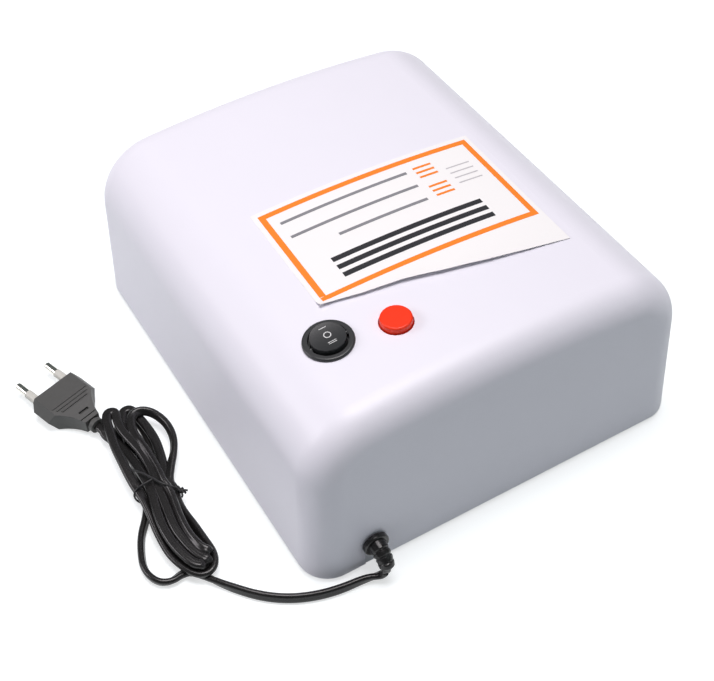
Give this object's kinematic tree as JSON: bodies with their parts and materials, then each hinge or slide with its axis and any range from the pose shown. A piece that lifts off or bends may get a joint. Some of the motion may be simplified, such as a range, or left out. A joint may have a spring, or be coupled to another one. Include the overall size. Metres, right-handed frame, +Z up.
{
  "type": "stamp exposure unit",
  "caption": "Table-top ultraviolet lamp box for exposing photopolymer stamps: arched casing, rocker switch, timer button, sliding tray, and a tied cord with a flat plug.",
  "frame": {"origin": "on the surface that the feet stand on, under the middle of the casing", "axes": "+Z up; the exposure opening and the tray look to -Y and the cord leaves the rear wall at +Y; +X is the side of the switch and the button"},
  "size_m": [0.276, 0.2488, 0.0988],
  "materials": {
    "casing_plastic": "satin white moulded plastic",
    "base_plastic": "matt white moulded plastic",
    "tray_plastic": "satin white moulded plastic",
    "foot_rubber": "soft black rubber",
    "screw_steel": "zinc plated steel",
    "reflector_metal": "polished aluminium sheet",
    "bulkhead_plastic": "matt white plastic",
    "lamp_glass": "fluorescent lamp glass, milky inside",
    "lamp_base_plastic": "white ceramic filled plastic",
    "socket_plastic": "black heat resistant plastic",
    "pin_brass": "plain brass",
    "clip_steel": "spring steel",
    "board_laminate": "brown paper laminate with a green mask",
    "choke_ferrite": "ferrite cores over wound wire",
    "film_plastic": "dipped red brown film capacitor",
    "transistor_plastic": "black epoxy",
    "resistor_enamel": "pale blue enamel",
    "can_sleeve": "dark shrink sleeve on aluminium cans",
    "relay_plastic": "blue relay case",
    "chip_plastic": "black epoxy",
    "fuse_glass": "glass tube",
    "terminal_plastic": "green screw terminal block",
    "wire_insulation": "coloured wire insulation",
    "switch_plastic": "satin black plastic",
    "rocker_plastic": "satin black plastic with white marks",
    "terminal_metal": "tinned brass blades",
    "button_plastic": "glossy red plastic",
    "guide_plastic": "grey white plastic",
    "tact_plastic": "black plastic and steel",
    "spring_steel": "spring wire",
    "label_paper": "coated paper with an orange frame",
    "cord_rubber": "soft black vinyl",
    "tie_wire": "black coated wire",
    "plug_rubber": "dark grey moulded vinyl",
    "plug_nickel": "nickel plated brass",
    "sleeve_plastic": "grey pin sleeves"
  },
  "bodies": {
    "housing": {"upper_casing": "casing_plastic", "base_plate": "base_plastic", "rubber_feet": "foot_rubber", "base_screws": "screw_steel", "reflector_hood": "reflector_metal", "reflector_screws": "screw_steel", "rear_bulkhead": "bulkhead_plastic", "bulkhead_screws": "screw_steel", "rear_reflector": "reflector_metal", "lamp_pins": "pin_brass", "lamp_clips": "clip_steel", "circuit_board": "board_laminate", "board_screws": "screw_steel", "ballast_chokes": "choke_ferrite", "film_capacitors": "film_plastic", "transistors": "transistor_plastic", "resistors": "resistor_enamel", "electrolytic_capacitors": "can_sleeve", "relay": "relay_plastic", "timer_chip": "chip_plastic", "mains_fuse": "fuse_glass", "fuse_clips": "clip_steel", "terminal_block": "terminal_plastic", "wiring": "wire_insulation", "switch_body": "switch_plastic", "switch_terminals": "terminal_metal", "button_guide": "guide_plastic", "button_board": "board_laminate", "tact_switch": "tact_plastic", "button_board_screws": "screw_steel", "button_spring": "spring_steel", "label_sticker": "label_paper", "cord_grommet": "cord_rubber", "strain_relief": "cord_rubber", "power_cord": "cord_rubber", "cord_hank": "cord_rubber", "twist_tie": "tie_wire", "plug_body": "plug_rubber", "plug_pins": "plug_nickel", "pin_sleeves": "sleeve_plastic", "lamp_tube_1": "lamp_glass", "lamp_base_1": "lamp_base_plastic", "lamp_socket_1": "socket_plastic", "lamp_tube_2": "lamp_glass", "lamp_base_2": "lamp_base_plastic", "lamp_socket_2": "socket_plastic", "lamp_tube_3": "lamp_glass", "lamp_base_3": "lamp_base_plastic", "lamp_socket_3": "socket_plastic", "lamp_tube_4": "lamp_glass", "lamp_base_4": "lamp_base_plastic", "lamp_socket_4": "socket_plastic"},
    "rocker": {"switch_rocker": "rocker_plastic"},
    "timer_button": {"button_cap": "button_plastic"},
    "tray": {"slide_tray": "tray_plastic", "tray_reflector": "reflector_metal"}
  },
  "joints": [
    {"name": "rocker_tilt", "type": "hinge", "parent": "housing", "child": "rocker", "pos_m": [0.0611, 0.0653, 0.09333], "axis": [0.9962, 0, -0.0873], "range_deg": [-12, 12]},
    {"name": "button_press", "type": "slide", "parent": "housing", "child": "timer_button", "axis": [-0.045, 0, -0.999], "range_m": [0, 0.002], "stiffness_N_per_m": 300, "springref_m": -0.002, "deforming": ["button_spring"]},
    {"name": "tray_slide", "type": "slide", "parent": "housing", "child": "tray", "axis": [0, -1, 0], "range_m": [0, 0.15]}
  ]
}
